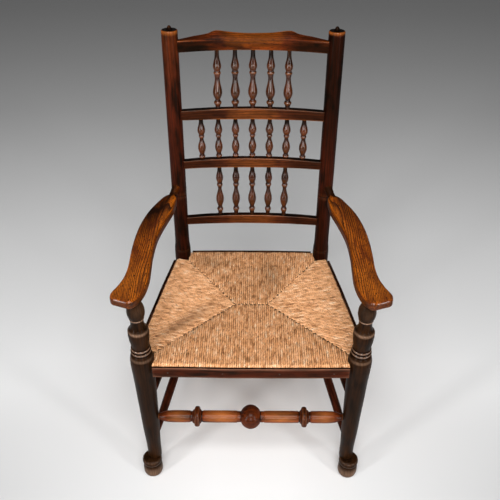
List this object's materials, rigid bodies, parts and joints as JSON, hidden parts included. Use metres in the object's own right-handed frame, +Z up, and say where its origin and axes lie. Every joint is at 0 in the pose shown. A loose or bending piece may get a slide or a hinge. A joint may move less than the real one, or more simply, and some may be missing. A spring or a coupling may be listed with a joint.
{
  "type": "spindle back armchair",
  "caption": "Turned wooden armchair with tiers of spindles in its back, a woven rush seat, flat curved arms and round stretchers, for sitting at a table or hearth.",
  "frame": {"origin": "on the floor, under the middle of the chair's bounding box", "axes": "+Z up, +Y towards the chair's back, +X towards the right as seen from the front"},
  "size_m": [0.6464, 0.5374, 1.1201],
  "materials": {
    "dark_wood": "dark stained and waxed, satin",
    "golden_wood": "golden brown stain worn by hands, open grain, satin",
    "spindle_wood": "red brown stain, polished",
    "strip_wood": "dark stained, worn edges",
    "inner_wood": "bare wood, hidden inside the rush",
    "rush": "dry twisted rush, matt",
    "nail_iron": "dull dark iron"
  },
  "bodies": {
    "root": {"spindle_upper_1": "spindle_wood", "spindle_upper_2": "spindle_wood", "spindle_upper_3": "spindle_wood", "spindle_upper_4": "spindle_wood", "spindle_upper_5": "spindle_wood", "spindle_middle_1": "spindle_wood", "spindle_middle_2": "spindle_wood", "spindle_middle_3": "spindle_wood", "spindle_middle_4": "spindle_wood", "spindle_middle_5": "spindle_wood", "spindle_middle_6": "spindle_wood", "spindle_middle_7": "spindle_wood", "spindle_lower_1": "spindle_wood", "spindle_lower_2": "spindle_wood", "spindle_lower_3": "spindle_wood", "spindle_lower_4": "spindle_wood", "spindle_lower_5": "spindle_wood", "crest_rail": "golden_wood", "back_rail_upper": "dark_wood", "back_rail_middle": "dark_wood", "back_rail_lower": "dark_wood", "crest_peg_left": "dark_wood", "crest_peg_right": "dark_wood", "seat_rail_front": "inner_wood", "seat_rail_right": "inner_wood", "seat_rail_rear": "inner_wood", "seat_rail_left": "inner_wood", "edging_strip_front": "strip_wood", "strip_nail_front_1": "nail_iron", "strip_nail_front_2": "nail_iron", "strip_nail_front_3": "nail_iron", "strip_nail_front_4": "nail_iron", "edging_strip_right": "strip_wood", "strip_nail_right_1": "nail_iron", "strip_nail_right_2": "nail_iron", "edging_strip_rear": "strip_wood", "strip_nail_rear_1": "nail_iron", "strip_nail_rear_2": "nail_iron", "strip_nail_rear_3": "nail_iron", "edging_strip_left": "strip_wood", "strip_nail_left_1": "nail_iron", "strip_nail_left_2": "nail_iron", "rush_seat": "rush", "front_stretcher": "golden_wood", "side_stretcher_upper_left": "dark_wood", "side_stretcher_lower_left": "dark_wood", "side_stretcher_upper_right": "dark_wood", "side_stretcher_lower_right": "dark_wood", "rear_stretcher": "dark_wood", "arm_left": "golden_wood", "arm_right": "golden_wood", "front_leg_left": "dark_wood", "front_leg_right": "dark_wood", "back_post_left": "dark_wood", "back_post_right": "dark_wood"}
  },
  "joints": []
}
